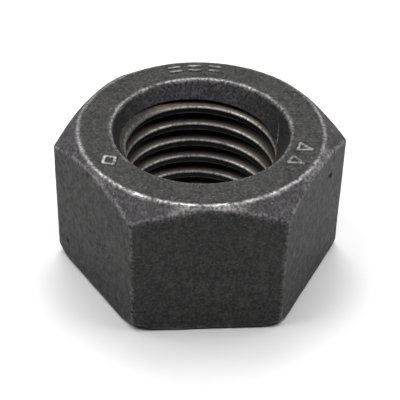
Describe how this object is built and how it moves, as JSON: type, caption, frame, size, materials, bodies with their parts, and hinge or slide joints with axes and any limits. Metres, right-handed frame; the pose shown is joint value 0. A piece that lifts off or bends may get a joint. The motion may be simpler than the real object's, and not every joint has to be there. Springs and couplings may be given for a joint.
{
  "type": "hex nut",
  "caption": "Plain steel hex nut for an M24 coarse thread, with a chamfered top face, countersunk ends and a dark forged finish.",
  "frame": {"origin": "centre of the bearing face, on the thread's axis", "axes": "+Z along the thread's axis from the bearing face to the chamfered top face, +X through a corner of the hexagon, +Y square to a flat"},
  "size_m": [0.0416, 0.036, 0.0215],
  "materials": {
    "forged_steel": "satin"
  },
  "bodies": {
    "root": {"nut_body": "forged_steel"}
  },
  "joints": []
}
